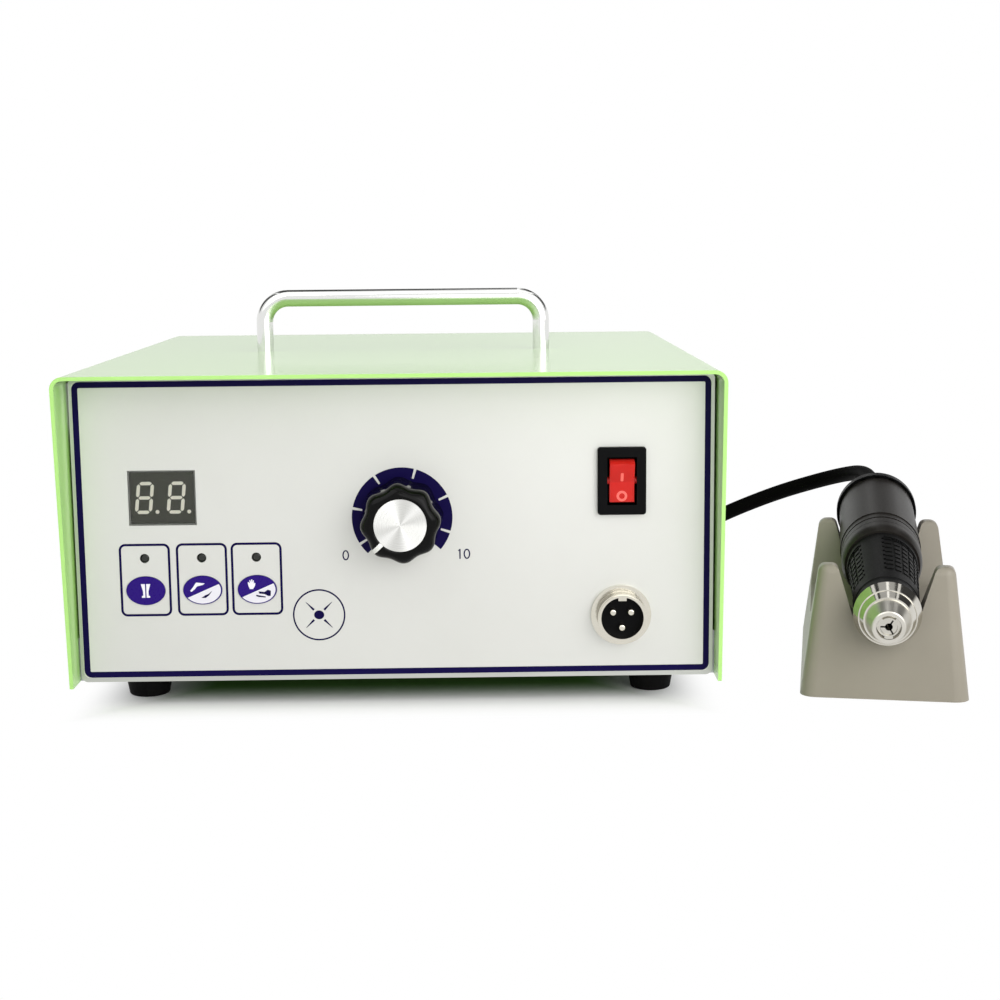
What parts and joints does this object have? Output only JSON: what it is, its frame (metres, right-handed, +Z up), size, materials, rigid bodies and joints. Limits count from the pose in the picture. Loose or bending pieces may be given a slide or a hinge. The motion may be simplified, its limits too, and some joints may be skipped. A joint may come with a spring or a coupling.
{
  "type": "micromotor polisher",
  "caption": "Bench micromotor polisher: a control unit in a green metal case with a carrying handle, a handpiece resting in a grey cradle, and its coiled cord with plug.",
  "frame": {"origin": "on the bench, under the middle of the footprint of the control unit, cradle and handpiece", "axes": "+X to the right as the user faces the panel, +Y away from the user, +Z up"},
  "size_m": [0.3068, 0.3393, 0.1298],
  "materials": {
    "cover_green": "satin",
    "panel_silver": "matte",
    "printed_film": "matte",
    "zinc_sheet": "satin",
    "steel_screw": "satin",
    "chrome": "polished",
    "black_rubber": "matte",
    "black_plastic": "gloss",
    "dark_matte": "matte",
    "window_clear": "gloss",
    "segment_cream": "matte",
    "lamp_lens": "gloss",
    "key_navy": "satin",
    "board_green": "satin",
    "nylon_white": "matte",
    "spun_aluminium": "satin",
    "rocker_red": "gloss",
    "brass_pin": "satin",
    "core_steel": "satin",
    "winding_tape": "satin",
    "sink_black": "satin",
    "can_blue": "gloss",
    "cradle_grey": "satin",
    "nose_steel": "polished",
    "housing_grey": "satin",
    "copper_wire": "satin",
    "cord_black": "satin"
  },
  "bodies": {
    "control_unit": {"base_pan": "zinc_sheet", "cover_shell": "cover_green", "case_screws": "steel_screw", "front_panel": "panel_silver", "front_overlay": "printed_film", "rear_panel": "zinc_sheet", "carry_handle": "chrome", "rubber_feet": "black_rubber", "chassis_screws": "steel_screw", "display_window": "window_clear", "display_module": "dark_matte", "display_digits": "segment_cream", "indicator_leds": "lamp_lens", "tact_switches": "black_plastic", "control_board": "board_green", "board_standoffs": "nylon_white", "pot_body": "zinc_sheet", "pot_nut": "steel_screw", "switch_body": "black_plastic", "socket_shell": "chrome", "socket_insert": "black_plastic", "socket_pins": "brass_pin", "socket_nut": "steel_screw", "power_inlet": "black_plastic", "inlet_pins": "brass_pin", "fuse_holder": "black_plastic", "pedal_socket": "black_plastic", "transformer_core": "core_steel", "transformer_winding": "winding_tape", "transformer_frame": "zinc_sheet", "driver_board": "board_green", "heatsink": "sink_black", "power_transistors": "black_plastic", "capacitors": "can_blue", "handpiece_cradle": "cradle_grey", "cord_lead": "cord_black", "cord_coil": "cord_black", "cord_tie": "dark_matte", "plug_strain_relief": "black_rubber", "plug_shell": "chrome", "plug_insert": "black_plastic"},
    "speed_knob": {"knob_skirt": "black_plastic", "knob_cap": "spun_aluminium", "pot_shaft": "spun_aluminium"},
    "power_rocker": {"rocker": "rocker_red"},
    "mode_key": {"key_mode": "key_navy"},
    "hand_key": {"key_hand": "key_navy"},
    "foot_key": {"key_foot": "key_navy"},
    "fuse_carrier": {"fuse_cap": "black_plastic"},
    "plug_coupling": {"plug_ring": "chrome"},
    "handpiece": {"motor_housing": "housing_grey", "tail_cap": "housing_grey", "tail_strain_relief": "black_rubber", "stator": "copper_wire", "spindle_bearings": "steel_screw"},
    "grip": {"front_grip": "black_rubber", "nosepiece": "nose_steel"},
    "spindle_unit": {"spindle": "steel_screw", "rotor_magnet": "zinc_sheet"},
    "collet_unit": {"collet": "steel_screw"}
  },
  "joints": [
    {"name": "speed_turn", "type": "hinge", "parent": "control_unit", "child": "speed_knob", "pos_m": [-0.04759, -0.08959, 0.06095], "axis": [0, 1, 0], "range_deg": [0, 270]},
    {"name": "power_rock", "type": "hinge", "parent": "control_unit", "child": "power_rocker", "pos_m": [0.02181, -0.08929, 0.0719], "axis": [-1, 0, 0], "range_deg": [0, 24]},
    {"name": "mode_press", "type": "slide", "parent": "control_unit", "child": "mode_key", "axis": [0, 1, 0], "range_m": [0, 0.0004], "stiffness_N_per_m": 400},
    {"name": "hand_press", "type": "slide", "parent": "control_unit", "child": "hand_key", "axis": [0, 1, 0], "range_m": [0, 0.0004], "stiffness_N_per_m": 400},
    {"name": "foot_press", "type": "slide", "parent": "control_unit", "child": "foot_key", "axis": [0, 1, 0], "range_m": [0, 0.0004], "stiffness_N_per_m": 400},
    {"name": "fuse_turn", "type": "hinge", "parent": "control_unit", "child": "fuse_carrier", "pos_m": [-0.06199, 0.10541, 0.038], "axis": [0, -1, 0], "range_deg": [0, 90]},
    {"name": "coupling_turn", "type": "hinge", "parent": "control_unit", "child": "plug_coupling", "pos_m": [0.03841, 0.21541, 0.0105], "axis": [1, 0, 0], "continuous": true},
    {"name": "handpiece_lift", "type": "slide", "parent": "control_unit", "child": "handpiece", "axis": [0, 0, 1], "range_m": [0, 0.06], "deforming": ["cord_lead"]},
    {"name": "grip_twist", "type": "hinge", "parent": "handpiece", "child": "grip", "pos_m": [0.10997, -0.07336, 0.0324], "axis": [0.1967, 0.9756, 0.0976], "range_deg": [0, 60]},
    {"name": "spindle_spin", "type": "hinge", "parent": "handpiece", "child": "spindle_unit", "pos_m": [0.1139, -0.05384, 0.03435], "axis": [0.1967, 0.9756, 0.0976], "continuous": true},
    {"name": "collet_slide", "type": "slide", "parent": "spindle_unit", "child": "collet_unit", "axis": [0.1967, 0.9756, 0.0976], "range_m": [0, 0.0008]}
  ],
  "couplings": [
    {"joint": "collet_slide", "follows": "grip_twist", "m_per_rad": 0.00076394}
  ]
}
